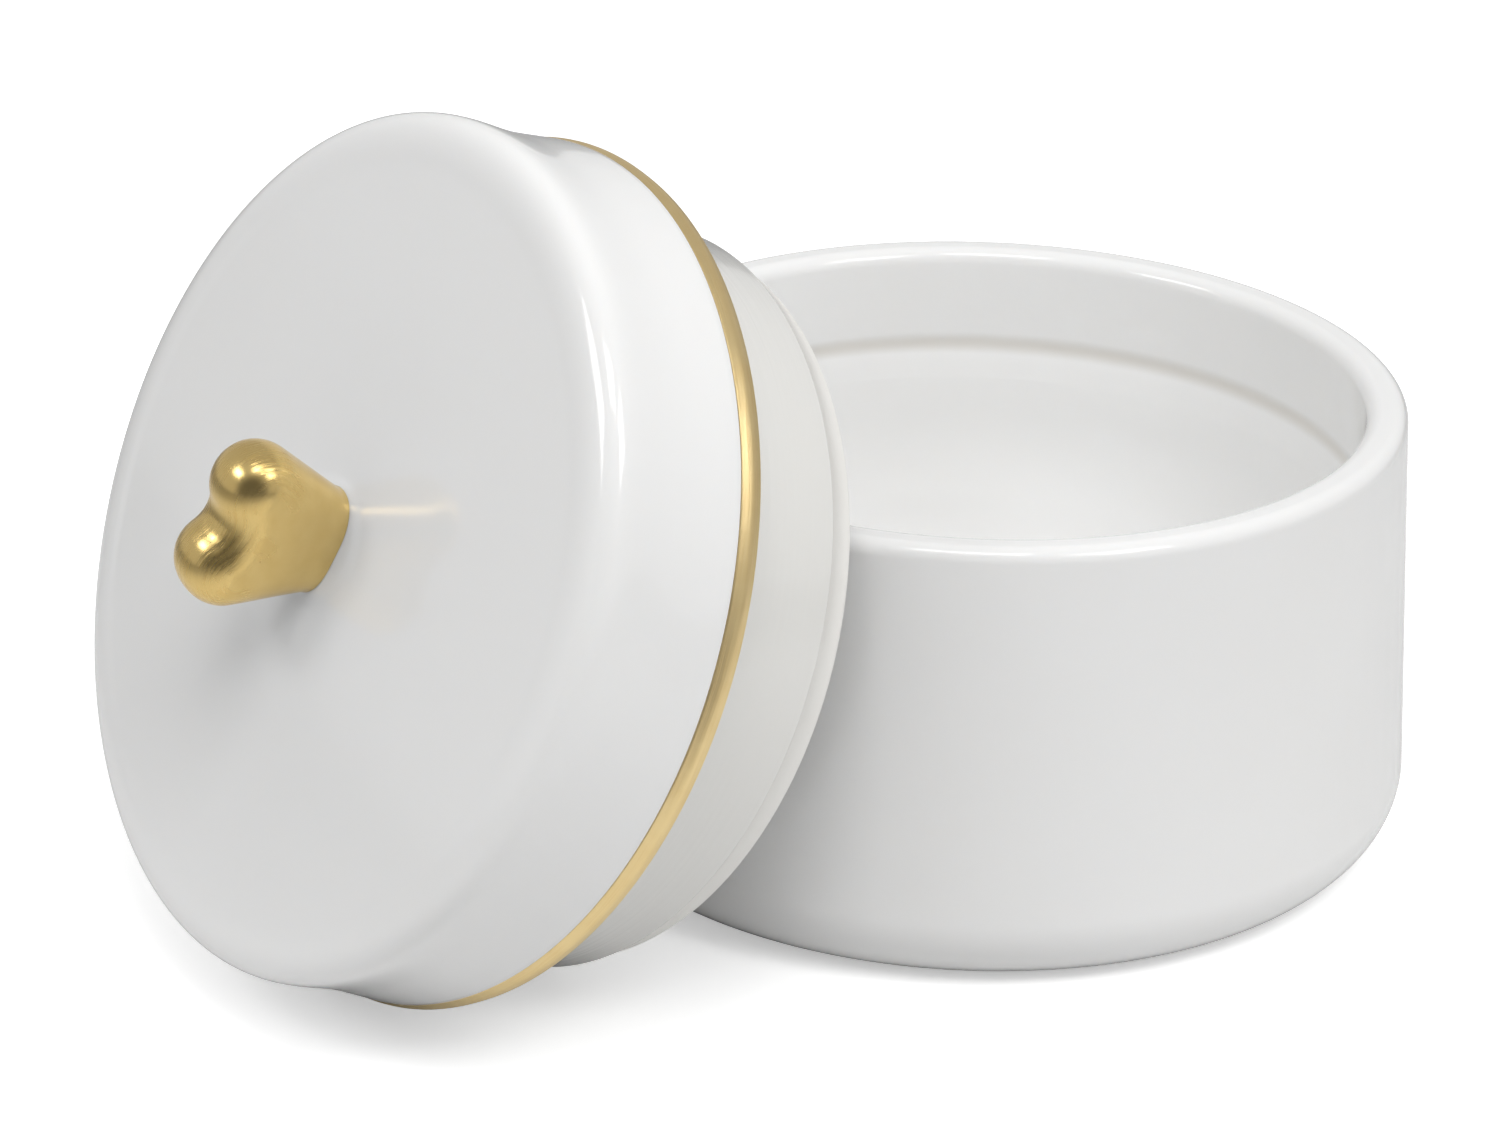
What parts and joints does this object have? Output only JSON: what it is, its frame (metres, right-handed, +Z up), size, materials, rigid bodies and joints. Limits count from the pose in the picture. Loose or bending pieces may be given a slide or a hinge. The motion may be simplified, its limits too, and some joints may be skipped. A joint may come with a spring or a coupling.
{
  "type": "trinket box",
  "caption": "Round glazed porcelain trinket box with a bowl base and a lift-off plug lid, a gold band round the lid's edge and a gold heart-shaped knob.",
  "frame": {"origin": "centre of the base's flat underside, on the table", "axes": "+Z up along the base's axis; the lid lies on its side at -X, its own axis in the XZ plane, with its mouth towards the base"},
  "size_m": [0.1588, 0.1044, 0.0973],
  "materials": {
    "base_glaze": "white gloss glaze",
    "lid_glaze": "white gloss glaze, bare matt biscuit at the collar's end",
    "gold": "brushed satin gold",
    "rubber": "translucent silicone rubber",
    "fibre": "matt red vulcanised fibre",
    "zinc_steel": "bright zinc plate"
  },
  "bodies": {
    "base": {"box_body": "base_glaze"},
    "lid": {"lid_shell": "lid_glaze", "rim_band": "gold"},
    "knob_set": {"heart_knob": "gold", "knob_pad": "rubber", "fibre_washer": "fibre", "steel_washer": "zinc_steel", "knob_screw": "zinc_steel"}
  },
  "joints": [
    {"name": "lid_carry", "type": "hinge", "parent": "base", "child": "lid", "pos_m": [-0.00416, 0, 0.01392], "axis": [0, 1, 0], "range_deg": [0, 67.45]},
    {"name": "lid_turn", "type": "hinge", "parent": "lid", "child": "knob_set", "pos_m": [-0.0695, 0, 0.04556], "axis": [-0.9235, 0, 0.3835], "continuous": true}
  ]
}
